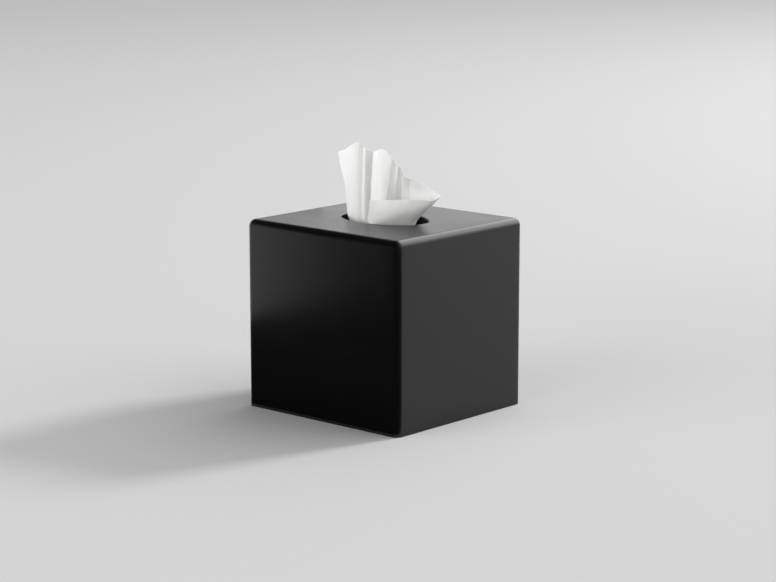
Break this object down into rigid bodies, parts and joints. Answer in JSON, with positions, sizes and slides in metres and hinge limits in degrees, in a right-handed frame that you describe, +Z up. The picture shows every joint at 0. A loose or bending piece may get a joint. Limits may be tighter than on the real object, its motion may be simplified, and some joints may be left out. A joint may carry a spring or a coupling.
{
  "type": "tissue box holder",
  "caption": "Rounded cube cover with an oval opening, standing over a card carton of tissues with one sheet pulled up through the opening.",
  "frame": {"origin": "centre of the footprint, on the surface it stands on", "axes": "+Z up, +X along the longer side and the oval opening's length, -Y the front"},
  "size_m": [0.138, 0.13, 0.1827],
  "materials": {
    "cover_moulding": "satin moulded, near black",
    "carton_card": "matt coated card, charcoal outside",
    "clear_film": "clear thin film",
    "tissue_paper": "soft creped tissue, white"
  },
  "bodies": {
    "root": {"cover": "cover_moulding", "carton": "carton_card", "film_window": "clear_film", "tissue_pile": "tissue_paper", "tissue": "tissue_paper"}
  },
  "joints": []
}
